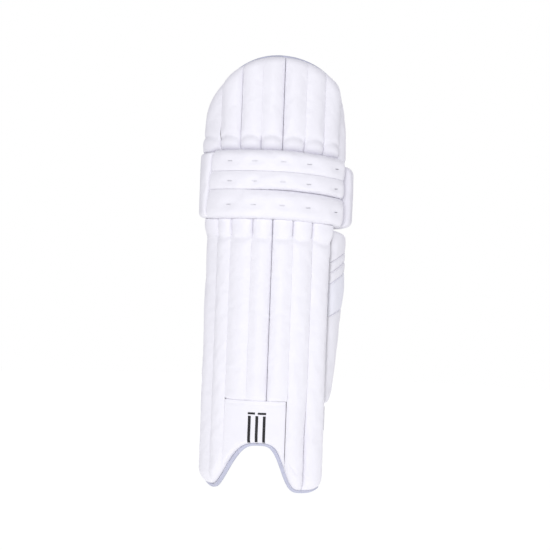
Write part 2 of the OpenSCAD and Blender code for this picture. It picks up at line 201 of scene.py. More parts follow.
def shell_low(x):
    """Lower edge of the shell, above its binding."""
    x = np.asarray(x, float)
    wide, steep = arch_sides(x)
    far = np.abs(x - ARCH_X) / wide
    slope = ARCH_H * np.exp(-(far**steep)) * steep * far ** (steep - 1) / wide
    return outline_low(x) + (BINDING_W + 0.4) * np.sqrt(1 + slope**2)


def shell_x(a):
    return SHIN.at(a, 60, FACE_W)[..., 0]


def shell_foot(a):
    return shell_low(shell_x(a))


def dome(a):
    """Upper outline of the top hat."""
    side = np.where(np.asarray(a) < 0, 103.0, 78.0)
    return PAD_H - side * (1 - np.sqrt(1 - (np.sin(np.radians(a)) / 1.03) ** 2))


def top_low(a):
    return HINGE_Z + 0.5 + 6 * (1 - np.cos(np.radians(a)))


def shell_top(a):
    return HINGE_Z - 0.5 - 8 * (1 - np.cos(np.radians(a)))


def droop(a):
    """How much lower the knee roll hangs towards its outer end."""
    return -KNEE_DROOP * (np.maximum(0, a) / 68) ** 1.5


def binding_reach(u):
    """How far out the tape round the foot of the pad comes."""
    return FACE_W + 2.6 + 4.5 * smooth(60, 90, -u) + 3 * smooth(30, 52, u)


def knee_inner(z):
    """Angle where the rolls start, at their inner end."""
    return KNEE_SPAN[0] + KNEE_SLANT * (z - KNEE_SEAMS[0]) / (KNEE_SEAMS[3] - KNEE_SEAMS[0])


def wing_z(i, u):
    return WING_SEAMS[i] + WING_CLIMB[i] * u * (2 - u)


def wing_thick(u):
    return WING_W * (1 - 0.25 * np.abs(2 * u - 1) ** 3)


def cap_thick(u):
    return 29 - 16 * np.asarray(u, float) ** 1.4


def ripple(u, z, seed, length=40.0, waves=7):
    """Gentle unevenness of stuffed leather, about -1 to 1, with waves near one length across."""
    rng = np.random.default_rng(seed)
    total = np.zeros(np.broadcast(u, z).shape)
    for _ in range(waves):
        turn, phase = rng.uniform(0, math.tau, 2)
        pitch = math.tau / (length * rng.uniform(0.6, 1.6))
        total += np.sin(pitch * (u * math.cos(turn) + z * math.sin(turn)) + phase)
    return total / math.sqrt(waves * 2)


# ---------------------------------------------------------------------------------------------
# Meshes
# ---------------------------------------------------------------------------------------------
def positions(count, crowd):
    """Positions from 0 to 1, crowded towards both ends by a share from 0 to 1."""
    even = np.linspace(0, 1, count)
    return lerp(even, 0.5 - 0.5 * np.cos(math.pi * even), crowd)


def make_object(name, points, faces, uvs=None):
    """A smooth-shaded object from points in millimetres, with its faces turned outwards."""
    mesh = bpy.data.meshes.new(name)
    mesh.from_pydata([tuple(p) for p in np.asarray(points) * MM], [], faces)
    if uvs is not None:
        layer = mesh.uv_layers.new(name="cloth")
        corner = np.empty(len(mesh.loops), int)
        mesh.loops.foreach_get("vertex_index", corner)
        layer.data.foreach_set("uv", (np.asarray(uvs)[corner] * MM).ravel())
    edit = bmesh.new()
    edit.from_mesh(mesh)
    bmesh.ops.recalc_face_normals(edit, faces=edit.faces)
    edit.to_mesh(mesh)
    edit.free()
    mesh.polygons.foreach_set("use_smooth", [True] * len(mesh.polygons))
    obj = bpy.data.objects.new(name, mesh)
    bpy.context.scene.collection.objects.link(obj)
    return obj


def heading(line):
    """Unit direction along a line of points."""
    ahead = np.gradient(line, axis=0)
    return ahead / np.linalg.norm(ahead, axis=1, keepdims=True)


def to_right(line):
    """Unit direction to the right of a line in plan."""
    ahead = heading(line)
    return np.stack([ahead[:, 1], -ahead[:, 0]], -1)


def distance_along(line):
    return np.concatenate([[0], np.cumsum(np.linalg.norm(np.diff(line, axis=0), axis=1))])


def grid_faces(rows, cols, first=0):
    index = first + np.arange(rows * cols).reshape(rows, cols)
    quads = np.stack([index[:-1, :-1], index[:-1, 1:], index[1:, 1:], index[1:, :-1]], -1)
    return quads.reshape(-1, 4).tolist()


def closed_faces(rows, cols):
    """Faces of a closed solid between two grids of points, the outer one first."""
    count = rows * cols
    index = np.arange(count).reshape(rows, cols)
    rim = np.concatenate([index[0, :-1], index[:-1, -1], index[-1, :0:-1], index[:0:-1, 0]])
    faces = grid_faces(rows, cols) + [f[::-1] for f in grid_faces(rows, cols, count)]
    for a, b in zip(rim, np.roll(rim, -1)):
        faces.append([int(b), int(a), int(a) + count, int(b) + count])
    return faces


def subdivide(obj, levels=1):
    """Adds a subdivision surface and makes it part of the mesh."""
    modifier = obj.modifiers.new("smooth", "SUBSURF")
    modifier.levels = modifier.render_levels = levels
    depsgraph = bpy.context.evaluated_depsgraph_get()
    mesh = bpy.data.meshes.new_from_object(obj.evaluated_get(depsgraph))
    obj.modifiers.clear()
    old, obj.data = obj.data, mesh
    bpy.data.meshes.remove(old)
    mesh.name = obj.name
    return obj


def slab(name, surface, u, z, w_out, w_in, levels=0):
    """A closed piece between two distances from a surface. u and z are grids of its places."""
    outer, inner = surface.at(u, z, w_out), surface.at(u, z, w_in)
    flat = np.stack([surface.run(u), np.broadcast_to(z, u.shape)], -1).reshape(-1, 2)
    points = np.concatenate([outer.reshape(-1, 3), inner.reshape(-1, 3)])
    obj = make_object(name, points, closed_faces(*u.shape), np.concatenate([flat, flat]))
    return subdivide(obj, levels) if levels else obj


def sweep(name, rings, uvs=None):
    """A closed tube through rings of points, with flat ends."""
    rings = np.asarray(rings, float)
    count, around = rings.shape[:2]
    faces = []
    for r in range(count - 1):
        for k in range(around):
            n = (k + 1) % around
            faces.append([r * around + k, r * around + n, (r + 1) * around + n, (r + 1) * around + k])
    faces.append(list(range(around))[::-1])
    faces.append([(count - 1) * around + k for k in range(around)])
    return make_object(name, rings.reshape(-1, 3), faces, uvs)


def joined(name, parts):
    """One object from several, in the order given."""
    points, faces, uvs = [], [], []
    base = 0
    for part in parts:
        mesh = part.data
        points += [v.co / MM for v in mesh.vertices]
        faces += [[base + i for i in p.vertices] for p in mesh.polygons]
        base += len(mesh.vertices)
        layer = mesh.uv_layers.get("cloth")
        flat = np.zeros((len(mesh.vertices), 2))
        if layer:
            for loop, item in zip(mesh.loops, layer.data):
                flat[loop.vertex_index] = item.uv
        uvs.append(flat / MM)
        bpy.data.objects.remove(part)
        bpy.data.meshes.remove(mesh)
    return make_object(name, points, faces, np.concatenate(uvs))


# ---------------------------------------------------------------------------------------------
# Materials
# ---------------------------------------------------------------------------------------------
class Look:
    """A material's node tree, with short calls for what the looks below share."""

    def __init__(self, name, colour, roughness, **shader):
        self.material = bpy.data.materials.new(name)
        self.material.use_nodes = True
        self.tree = self.material.node_tree
        self.shader = self.tree.nodes["Principled BSDF"]
        self.colour, self.roughness = colour, roughness
        self.set(self.shader, {"Base Color": (*colour, 1), "Roughness": roughness})
        self.set(self.shader, {key.replace("_", " "): value for key, value in shader.items()})

    @staticmethod
    def set(node, values):
        for key, value in values.items():
            node.inputs[key].default_value = value

    def node(self, kind, inputs=None, **settings):
        node = self.tree.nodes.new(kind)
        for key, value in settings.items():
            setattr(node, key, value)
        for key, value in (inputs or {}).items():
            if isinstance(value, bpy.types.NodeSocket):
                self.tree.links.new(value, node.inputs[key])
            else:
                node.inputs[key].default_value = value
        return node

    def place(self):
        return self.node("ShaderNodeTexCoord").outputs["Object"]

    def cloth(self, turn=0.0, scale=1.0):
        """Place along the cloth in metres, turned and scaled."""
        uv = self.node("ShaderNodeUVMap", uv_map="cloth").outputs["UV"]
        turned = self.node("ShaderNodeMapping", {"Vector": uv})
        turned.inputs["Rotation"].default_value = (0, 0, math.radians(turn))
        turned.inputs["Scale"].default_value = (scale, scale, scale)
        return turned.outputs["Vector"]

    def math(self, operation, a, b=0.5):
        return self.node("ShaderNodeMath", {0: a, 1: b}, operation=operation).outputs[0]

    def ranged(self, value, low, high, start=0.0, end=1.0):
        sizes = {"From Min": low, "From Max": high, "To Min": start, "To Max": end}
        return self.node("ShaderNodeMapRange", {"Value": value, **sizes}).outputs["Result"]

    def tint(self, amount, low, high):
        """Base colour running between two colours with amount."""
        ramp = self.node("ShaderNodeValToRGB", {"Fac": amount})
        ramp.color_ramp.elements[0].color = (*low, 1)
        ramp.color_ramp.elements[1].color = (*high, 1)
        self.tree.links.new(ramp.outputs["Color"], self.shader.inputs["Base Color"])

    def gloss(self, value):
        self.tree.links.new(value, self.shader.inputs["Roughness"])

    def bump(self, heights):
        """Stacks bumps: each is (height, depth in metres, strength)."""
        normal = None
        for height, depth, strength in heights:
            inputs = {"Height": height, "Distance": depth, "Strength": strength}
            if normal:
                inputs["Normal"] = normal
            normal = self.node("ShaderNodeBump", inputs).outputs["Normal"]
        self.tree.links.new(normal, self.shader.inputs["Normal"])


def shade(colour, factor):
    return tuple(c * factor for c in colour)


def leather(name, colour, grain=1100, depth=0.00012, roughness=0.48):
    """Soft coated leather: pebble grain, fine creases and slight unevenness of tone."""
    look = Look(name, colour, roughness, Specular_IOR_Level=0.35)
    place = look.place()
    cells = look.node("ShaderNodeTexVoronoi", {"Vector": place, "Scale": grain})
    cells.feature = "SMOOTH_F1"
    tone = look.node("ShaderNodeTexNoise", {"Vector": place, "Scale": 38, "Detail": 4})
    fine = look.node("ShaderNodeTexNoise", {"Vector": place, "Scale": 420, "Detail": 3})
    crease = look.node("ShaderNodeTexNoise", {"Vector": place, "Scale": 70, "Detail": 6})
    look.set(crease, {"Distortion": 1.4, "Roughness": 0.6})
    look.tint(tone.outputs["Fac"], shade(colour, 0.955), shade(colour, 1.02))
    look.gloss(look.ranged(fine.outputs["Fac"], 0.3, 0.7, roughness - 0.07, roughness + 0.09))
    look.bump([(crease.outputs["Fac"], 0.0004, 0.3), (cells.outputs["Distance"], depth, 0.5),
        (fine.outputs["Fac"], 0.00008, 0.35)])
    return look.material


def woven(name, colour, pitch, depth, roughness=0.8, turn=0.0, contrast=0.9, sheen=0.25):
    """Plain-woven or ribbed cloth: two sets of threads, pitch = (across, along) in metres."""
    look = Look(name, colour, roughness, Sheen_Weight=sheen, Specular_IOR_Level=0.2)
    threads = []
    for angle, size in ((turn, pitch[0]), (turn + 90, pitch[1])):
        wave = look.node("ShaderNodeTexWave", {"Vector": look.cloth(angle)})
        look.set(wave, {"Scale": math.tau / size / 20, "Distortion": 0.4, "Detail": 1})
        threads.append(wave.outputs["Fac"])
    weave = look.math("MULTIPLY", threads[0], threads[1])
    over = look.math("MULTIPLY", weave, 1.0)
    tone = look.node("ShaderNodeTexNoise", {"Vector": look.place(), "Scale": 55, "Detail": 5})
    mixed = look.math("MULTIPLY_ADD", over, 0.6)
    look.tree.links.new(tone.outputs["Fac"], mixed.node.inputs[2])
    look.tint(look.ranged(mixed, 0.3, 1.2), shade(colour, contrast), shade(colour, 1.02))
    look.gloss(look.ranged(tone.outputs["Fac"], 0.3, 0.7, roughness - 0.06, roughness + 0.08))
    look.bump([(over, depth, 0.6), (tone.outputs["Fac"], 0.0003, 0.2)])
    return look.material


def mesh_cloth(name, colour):
    """Spacer mesh: rows of small open cells in a padded knit."""
    look = Look(name, colour, 0.85, Sheen_Weight=0.3, Specular_IOR_Level=0.15)
    cells = look.node("ShaderNodeTexVoronoi", {"Vector": look.cloth(30), "Scale": 420})
    look.set(cells, {"Randomness": 0.12})
    hole = look.ranged(cells.outputs["Distance"], 0.12, 0.5)
    tone = look.node("ShaderNodeTexNoise", {"Vector": look.place(), "Scale": 45, "Detail": 4})
    look.tint(look.math("MULTIPLY", hole, look.ranged(tone.outputs["Fac"], 0.3, 0.7, 0.85, 1)),
        shade(colour, 0.62), colour)
    look.gloss(look.ranged(tone.outputs["Fac"], 0.3, 0.7, 0.78, 0.92))
    look.bump([(hole, 0.0005, 0.7), (tone.outputs["Fac"], 0.0004, 0.25)])
    return look.material


def tape(name, colour, loops):
    """Hook or loop tape: a dense field of tiny loops, or of hooks in rows."""
    look = Look(name, colour, 0.75, Sheen_Weight=0.5 if loops else 0.1, Specular_IOR_Level=0.25)
    nap = look.node("ShaderNodeTexVoronoi", {"Vector": look.cloth(8), "Scale": 900})
    look.set(nap, {"Randomness": 1.0 if loops else 0.15})
    fuzz = look.node("ShaderNodeTexNoise", {"Vector": look.place(), "Scale": 260, "Detail": 5})
    look.tint(look.ranged(nap.outputs["Distance"], 0.0, 0.6), colour, shade(colour, 0.72))
    look.gloss(look.ranged(fuzz.outputs["Fac"], 0.3, 0.7, 0.66, 0.88))
    look.bump([(nap.outputs["Distance"], 0.0005, 0.8), (fuzz.outputs["Fac"], 0.0004, 0.5)])
    return look.material


def foam(name, colour):
    look = Look(name, colour, 0.95, Specular_IOR_Level=0.1)
    pores = look.node("ShaderNodeTexVoronoi", {"Vector": look.place(), "Scale": 700})
    tone = look.node("ShaderNodeTexNoise", {"Vector": look.place(), "Scale": 30, "Detail": 3})
    look.tint(tone.outputs["Fac"], shade(colour, 0.85), colour)
    look.gloss(look.ranged(tone.outputs["Fac"], 0.3, 0.7, 0.9, 0.98))
    look.bump([(pores.outputs["Distance"], 0.0005, 0.6)])
    return look.material


def thread(name, colour):
    look = Look(name, colour, 0.55, Sheen_Weight=0.3, Specular_IOR_Level=0.3)
    twist = look.node("ShaderNodeTexNoise", {"Vector": look.place(), "Scale": 1500, "Detail": 2})
    look.tint(twist.outputs["Fac"], shade(colour, 0.8), shade(colour, 1.03))
    look.gloss(look.ranged(twist.outputs["Fac"], 0.3, 0.7, 0.45, 0.65))
    look.bump([(twist.outputs["Fac"], 0.0002, 0.6)])
    return look.material


def ink(name, colour):
    """Screen-printed ink that follows the grain of the leather under it."""
    look = Look(name, colour, 0.5, Specular_IOR_Level=0.3)
    cells = look.node("ShaderNodeTexVoronoi", {"Vector": look.place(), "Scale": 1100})
    wear = look.node("ShaderNodeTexNoise", {"Vector": look.place(), "Scale": 160, "Detail": 4})
    look.tint(look.ranged(wear.outputs["Fac"], 0.45, 0.8), colour, shade(colour, 2.2))
    look.gloss(look.ranged(wear.outputs["Fac"], 0.3, 0.7, 0.42, 0.6))
    look.bump([(cells.outputs["Distance"], 0.0001, 0.4)])
    return look.material


WHITE = (0.868, 0.858, 0.915)
LEATHER = leather("cover_leather", WHITE)
LEATHER_SOFT = leather("panel_leather", (0.85, 0.85, 0.925), grain=1300, roughness=0.52)
# A darker copy of the cover leather: painted shade for the outer knee cap, which sits back in shadow.
LEATHER_PAINTED_SHADE = leather("side_leather_painted_shade", (0.80, 0.79, 0.85), grain=1300, roughness=0.52)
BINDING = woven("binding_tape", (0.58, 0.595, 0.73), (0.0012, 0.0009), 0.0002, contrast=0.86)
EDGE_TAPE = woven("edge_tape", (0.80, 0.80, 0.85), (0.0012, 0.0009), 0.0002, contrast=0.86)
BACKING = woven("backing_canvas", (0.74, 0.74, 0.77), (0.0016, 0.0016), 0.0003, contrast=0.8)
LINING = woven("lining_cloth", (0.82, 0.82, 0.85), (0.0014, 0.0011), 0.00025, contrast=0.87)
BOLSTER = mesh_cloth("bolster_mesh", (0.83, 0.83, 0.86))
WEBBING = woven("strap_webbing", (0.84, 0.84, 0.87), (0.0030, 0.0012), 0.0005, contrast=0.8)
HOOKS = tape("hook_tape", (0.70, 0.70, 0.74), loops=False)
LOOPS = tape("loop_tape", (0.78, 0.78, 0.82), loops=True)
FOAM = foam("foam", (0.80, 0.78, 0.70))
THREAD = thread("thread", (0.80, 0.80, 0.84))
TACK_THREAD = thread("tack_thread", (0.80, 0.80, 0.86))
INK = ink("print_ink", (0.012, 0.012, 0.014))


def dress(obj, material, body=None, replaces=()):
    """Gives a piece its material and its body, and hides the CAD nodes that it stands for."""
    obj.data.materials.clear()
    obj.data.materials.append(material)
    if body:
        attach(obj, body)
    if replaces:
        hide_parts(*([replaces] if isinstance(replaces, str) else replaces))
    return obj


# ---------------------------------------------------------------------------------------------
# Cushions: stuffed pieces with an outer skin that is inflated as cloth
# ---------------------------------------------------------------------------------------------
class Cushion:
    """A stuffed piece. outer and inner are grids of points; skin is true where the inner grid is the
    inside of the leather and moves with it, and false where it is the cushion's flat back."""

    def __init__(self, name, surface, u, z, outer_w, inner_w, swell=3.0, skin=False, held=None):
        self.name, self.swell, self.skin = name, swell, skin
        self.outer, self.inner = surface.at(u, z, outer_w), surface.at(u, z, inner_w)
        self.flat = np.stack([surface.run(u), z + 0 * u], -1)
        self.held = np.zeros(u.shape, bool)
        self.held[[0, -1], :] = True
        self.held[:, [0, -1]] = True
        if held is not None:
            self.held |= held

    def build(self, levels=1):
        points = np.concatenate([self.outer.reshape(-1, 3), self.inner.reshape(-1, 3)])
        flat = self.flat.reshape(-1, 2)
        faces = closed_faces(*self.outer.shape[:2])
        return subdivide(make_object(self.name, points, faces, np.concatenate([flat, flat])), levels)


def inflate(cushions):
    """Blows the outer skins up as cloth, held at their seams, all in one simulation."""
    points, faces, held = [], [], []
    base = 0
    for cushion in cushions:
        rows, cols = cushion.outer.shape[:2]
        points.append(cushion.outer.reshape(-1, 3))
        faces += grid_faces(rows, cols, base)
        held.append(cushion.held.ravel())
        base += rows * cols
    start = np.concatenate(points)
    mesh = bpy.data.meshes.new("skins")
    mesh.from_pydata([tuple(p) for p in start * MM], [], faces)
    obj = bpy.data.objects.new("skins", mesh)
    bpy.context.scene.collection.objects.link(obj)
    pins = obj.vertex_groups.new(name="held")
    pins.add([int(i) for i in np.flatnonzero(np.concatenate(held))], 1.0, "REPLACE")
    cloth = obj.modifiers.new("cloth", "CLOTH")
    rules = cloth.settings
    rules.quality = 5
    rules.mass = 0.3
    rules.tension_stiffness = rules.compression_stiffness = 12
    rules.shear_stiffness = 6
    rules.bending_stiffness = 0.6
    rules.use_pressure = True
    rules.uniform_pressure_force = 4
    rules.shrink_min = -0.006
    rules.vertex_group_mass = "held"
    rules.effector_weights.gravity = 0
    cloth.collision_settings.use_collision = False
    scene = bpy.context.scene
    scene.frame_start, scene.frame_end = 1, 20
    for number in range(1, 21):
        scene.frame_set(number)
    depsgraph = bpy.context.evaluated_depsgraph_get()
    result = obj.evaluated_get(depsgraph).data
    moved = np.empty(len(start) * 3)
    result.vertices.foreach_get("co", moved)
    shift = moved.reshape(-1, 3) / MM - start
    scene.frame_set(1)
    bpy.data.objects.remove(obj)
    bpy.data.meshes.remove(mesh)
    base = 0
    for cushion in cushions:
        rows, cols = cushion.outer.shape[:2]
        move = shift[base:base + rows * cols].reshape(rows, cols, 3)
        base += rows * cols
        size = np.linalg.norm(move, axis=-1, keepdims=True)
        move = move * np.minimum(1, cushion.swell / np.maximum(size, 1e-6))
        cushion.outer = cushion.outer + move
        if cushion.skin:
            cushion.inner = cushion.inner + move


def bulge(s, left, right, crown=0.26, power=7):
    """Height across a stuffed channel as a share of its fullness, between its left and right valleys.
    It rises quickly beside a seam, and crown is the share that rises evenly to the middle."""
    valley = lerp(left, right, smooth(0.3, 0.7, s))
    x = np.abs(2 * s - 1)
    return valley + (1 - crown - valley) * (1 - x**power) ** 0.4 + crown * (1 - x * x)


def ending(distance, run, floor=0.0):
    """Rounds a stuffed piece down over a run at its end."""
    left = 1 - np.clip(distance / run, 0, 1)
    return floor + (1 - floor) * np.sqrt(1 - left**2)


cushions = {}


def add_cushion(name, *args, **settings):
    cushions[name] = Cushion(name, *args, **settings)
    return cushions[name]


SHIN_VALLEYS = [0.3, 0.78, 0.78, 0.82, 0.52, 0.82, 0.76, 0.42]
TOP_VALLEYS = [0.3, 0.72, 0.58, 0.82, 0.5, 0.82, 0.7, 0.68]
SHIN_GAPS = [0, -0.08, -0.06, -0.04, 0.05, -0.04, 0.03, 0]
TOP_GAPS = [0, -0.06, 0.04, -0.06, 0.05, -0.05, -0.02, -0.06]
TOP_ROUNDING = [44, 24, 14, 13, 14, 20, 28]
SKIN_T = 1.4


def shin_channel(i, lowered=0.0):
    """Places and height of a shin channel. lowered takes its skin and some air off, for the foam."""
    rows, cols = (112, 17) if not lowered else (60, 11)
    s, t = np.meshgrid(positions(cols, 0.75), positions(rows, 0.85))
    margin = lowered * 0.7
    u = lerp(SHIN_SEAMS[i] + SHIN_GAPS[i] + margin, SHIN_SEAMS[i + 1] - SHIN_GAPS[i + 1] - margin, s)
    low = INSTEP_TOP - 0.3 + 0 * u if i in (2, 3, 4) else shell_foot(u) - FOOT_TUCK
    low, high = low + lowered, SHIN_COVER_TOP + droop(u) - lowered
    z = lerp(low, high, t)
    full = CHANNEL_H - 1.2 - lowered
    puff = smooth(432, 446, z - droop(u))
    left, right = (lerp(SHIN_VALLEYS[k], min(SHIN_VALLEYS[k], 0.55), puff) for k in (i, i + 1))
    if i == 5:
        right = right - 0.35 * (1 - smooth(60, 200, z))
    if i == 6:
        left = left - 0.35 * (1 - smooth(60, 200, z))
    if i == 5:
        left = left - 0.18 * (1 - smooth(150, 190, z))
    height = full * bulge(s, left, right)
    if i in (2, 3, 4):
        foot = ending(z - low, 8, 0.7)
    else:
        foot = ending(z - low, 24, (binding_reach(u) - FACE_W) / full)
    height = height * foot * ending(high - z, 3, 0.96)
    side = np.abs(2 * s - 1)
    if i:
        crease = SHIN_CREASE_Z + droop(u) + 9 * side**4
        height = height - 2.6 * np.exp(-np.abs((z - crease) / 4.6) ** 1.6) * (1 - 0.3 * side**6)
        height = height + 1.8 * bell(z, crease + 18, 12) * (1 - side**4)
        height = height + 0.8 * bell(z, crease - 16, 12) * (1 - side**4)
    if i == 6:
        height = height + 6 * smooth(430, 458, z - droop(u)) * s**2
    if i == 0:
        height = height + 6.5 * smooth(430, 458, z) * (1 - s**2)
        height = height + 2.5 * (1 - smooth(0, 60, z)) * (1 - s) * smooth(0, 20, z - low)
    if not lowered:
        height = height + 0.5 * ripple(SHIN.run(u), z * 0.25, 10 + i) * (1 - side**4)
        height = height + 0.14 * ripple(SHIN.run(u) * 0.3, z, 30 + i, 13) * side**3 * (1 - side**12)
    return u, z, FACE_W + height


for i in range(7):
    u, z, w = shin_channel(i)
    inner = np.maximum(FACE_W, w - SKIN_T)
    add_cushion(f"shin_cover_{i + 1}", SHIN, u, z, w, inner, swell=2.2, skin=True)


def top_channel(i, lowered=0.0):
    """Places and height of a top hat channel, as for the shin."""
    rows, cols = (52, 17) if not lowered else (30, 11)
    s, t = np.meshgrid(positions(cols, 0.75), positions(rows, 0.8))
    margin = lowered * 0.7
    u = lerp(TOP_SEAMS[i] + TOP_GAPS[i] + margin, TOP_SEAMS[i + 1] - TOP_GAPS[i + 1] - margin, s)
    low = top_low(u) + 2 if lowered else HAT_COVER_LOW + droop(u)
    high = dome(u) - (BINDING_W + 2 + lowered if lowered else DOME_MARGIN)
    z = lerp(low, high, t)
    full = CHANNEL_H - 1.6 - lowered
    cell = 1 - smooth(604, 614, z - droop(u))
    left, right = (lerp(TOP_VALLEYS[k], min(TOP_VALLEYS[k], 0.5), cell) for k in (i, i + 1))
    height = full * bulge(s, left, right)
    past = smooth(56, 68, -u)
    height = height * ending(z - low, lerp(17, 3, past), lerp(0.06, 0.9, past)) ** 1.2
    height = height * ending(high - z, TOP_ROUNDING[i], 0.24)
    if i == 0:
        height = height + 2.5 * (1 - smooth(600, 640, z))
    side = np.abs(2 * s - 1)
    crease = HAT_CREASE_Z + droop(u) - 9 * side**2.5
    height = height - 2.9 * np.exp(-np.abs((z - crease) / 4.0) ** 1.6) * (1 - side**8)
    height = height + 1.6 * bell(z, crease - 13, 9) * (1 - side**3)
    if not lowered:
        height = height + 0.5 * ripple(TOP.run(u), z * 0.5, 50 + i) * (1 - side**4)
        height = height + 0.18 * ripple(TOP.run(u) * 0.3, z, 70 + i, 12) * side**3 * (1 - side**12)
    return u, z, FACE_W + np.maximum(0.2, height)


for i in range(7):
    u, z, w = top_channel(i)
    inner = np.maximum(FACE_W, w - SKIN_T)
    add_cushion(f"top_cover_{i + 1}", TOP, u, z, w, inner, swell=2.0, skin=True)

# Side panel of the top hat, past the seventh channel
s, t = np.meshgrid(positions(17, 0.5), positions(40, 0.4))
u = lerp(TOP_SEAMS[7] - 0.05, TOP_SEAMS[8], s)
low, high = np.maximum(HAT_COVER_LOW + droop(u), 569.6), dome(u) - DOME_MARGIN
z = lerp(low, high, t)
fall = 15 * np.interp(t, [0, 0.08, 0.5, 0.85, 1], [0.8, 1, 0.85, 0.5, 0.3])
past = smooth(66, 72, u)
tuck = ending(z - low, lerp(15, 3, past), lerp(0.2, 0.8, past))
w = FACE_W + fall * bulge(s, 0.72, 0.4) * tuck * ending(high - z, 32, 0.3)
add_cushion("top_side_cover", TOP, u, z, w, FACE_W + 0 * w, swell=2.0)


# The three rolls over the knee
def roll(i):
    """Places and height of a knee roll, and where its bar tacks hold it down."""
    s, t = np.meshgrid(positions(84, 0.12), positions(19, 0.85))
    inner_end = knee_inner(lerp(KNEE_SEAMS[i], KNEE_SEAMS[i + 1], t)) + 0.06
    u = lerp(inner_end, KNEE_SPAN[1] - 0.25, s)
    low, high = KNEE_SEAMS[i] - 0.15 + droop(u), KNEE_SEAMS[i + 1] + 0.15 + droop(u)
    along = KNEE.run(u)
    split = lerp(0.9, 0.56, smooth(-40, 10, u))
    under = [0.46, split, 0.9][i]
    over = [split, 0.9, 0.5][i]
    z = lerp(low, high, t)
    across = bulge(t, under, over, 0.14, 5)
    ends = ending(along - KNEE.run(inner_end), 5, 0.85) * ending(
        KNEE.run(KNEE_SPAN[1]) - along, 14, 0.3)
    height = (ROLL_H - 1.2) * across * ends
    middle = (KNEE_SEAMS[i] + KNEE_SEAMS[i + 1]) / 2 - 2 + droop(u)
    held = np.zeros(u.shape, bool)
    for a in TACK_ANGLES:
        reach = np.hypot((along - KNEE.run(a)) / 1.6, z - middle)
        height = height - 1.9 * np.exp(-((reach / 4.6) ** 1.4))
        held |= reach < 2.4
    height = height + 0.45 * ripple(along, z, 90 + i, 50)
    height = height + 0.25 * ripple(along, z * 0.4, 95 + i, 12) * (np.abs(2 * t - 1) ** 2)
    return u, z, ROLL_BACK_W + height, held


for i, part in enumerate(("lower", "middle", "upper")):
    u, z, w, held = roll(i)
    add_cushion(f"knee_roll_cover_{part}", KNEE, u, z, w, ROLL_BACK_W + 0 * w, 2.0, held=held)


# The two ends of the knee roll
s, t = np.meshgrid(positions(19, 0.5), positions(40, 0.45))
z = lerp(KNEE_SEAMS[0], KNEE_SEAMS[3] - 3, t)
u = lerp(-103, knee_inner(z) - 0.06, s)
fall = lerp(28, 40, (np.minimum(1, (u + 103) / 39)) ** 0.6) - 1.2
w = 4 + (fall - 4) * ending(z - KNEE_SEAMS[0], 9, 0.6) * ending(KNEE_SEAMS[3] - 3 - z, 6, 0.8)
w = w - (w - 4) * 0.14 * (1 - ending((1 - s) * 50, 5)) - (w - 4) * 0.3 * (1 - ending(s * 50, 7))
w = w + 0.4 * ripple(KNEE.run(u), z * 0.5, 120)
add_cushion("knee_cap_inner", KNEE, u, z, w, 4 + 0 * w, swell=2.0)

s, t = np.meshgrid(positions(22, 0.5), positions(40, 0.45))
low, high = KNEE_SEAMS[0] - KNEE_DROOP, KNEE_SEAMS[3] - KNEE_DROOP - 8
z = lerp(low, high, t)
w = (cap_thick(s) - 1.0) * ending(z - low, 14, 0.35) * ending(high - z, 16, 0.35)
w = w * (1 - 0.5 * (1 - ending((1 - s) * 78, 8))) * (1 - 0.25 * (1 - ending(s * 78, 5)))
w = w + 0.4 * ripple(CAP.run(s), z * 0.5, 121)
add_cushion("knee_cap_outer", CAP, s, z, w, 0 * w, swell=2.0)


# Instep panel: a low cushion with a raised rim along its top
s, t = np.meshgrid(positions(37, 0.8), positions(34, 0.85))
u = lerp(SHIN_SEAMS[2] - 0.12, SHIN_SEAMS[5] - 0.02, s)
low = shell_foot(u) - FOOT_TUCK
z = lerp(low, INSTEP_TOP, t)
height = lerp(15, 12, s) * bulge(s, 0.95, 0.82, 0.03, 14)
height = height * ending(z - low, 10, 0.4) * ending(INSTEP_TOP - z, 4, 0.9)
height = height - 0.9 * bell(INSTEP_TOP - z, 6.5, 1.6) + 0.3 * ripple(SHIN.run(u), z, 130, 45)
add_cushion("instep_cushion", SHIN, u, z, FACE_W + height, FACE_W + 0 * u, swell=1.0)


# Bolsters on the leg side
def bolster(name, form, a0, a1, z0, z1, depth, size, seed):
    """A soft bolster on the leg side, full in the middle and rounded at its edges."""
    s, t = np.meshgrid(positions(size[0], 0.6), positions(size[1], 0.5))
    u, z = lerp(a0, a1, s), lerp(z0, z1, t)
    wide = form.run(a1) - form.run(a0)
    reach = min(wide, z1 - z0) * 0.42
    across = ending(s * wide, reach) * ending((1 - s) * wide, reach)
    up = ending((z - z0), reach) * ending(z1 - z, reach)
    fall = (depth - 1.5) * np.clip(across * up, 0.12, 1) + 0.4 * ripple(form.run(u), z, seed, 40)
    return add_cushion(name, form, u, z, -0.4 - np.maximum(0.8, fall), -0.4 + 0 * u, swell=1.8)


bolster("shin_bolster_cover_1", SHIN, -74, -36, 96, 440, 13, (19, 80), 141)
bolster("shin_bolster_cover_2", SHIN, -26, 12, 96, 440, 13, (19, 80), 142)
bolster("shin_bolster_cover_3", SHIN, 22, 56, 96, 440, 13, (19, 80), 143)
bolster("knee_bolster_cover_lower", SHIN, -62, 54, 452, 494, 17, (56, 19), 144)
bolster("knee_bolster_cover_upper", SHIN, -62, 54, 541, 578, 17, (56, 19), 145)
bolster("knee_cup_cover_inner", SHIN, -66, -38, 500, 535, 12, (17, 17), 146)
bolster("knee_cup_cover_outer", SHIN, 32, 56, 500, 535, 12, (15, 17), 147)
bolster("top_bolster_cover", TOP, -50, 42, 622, 690, 10, (44, 25), 148)

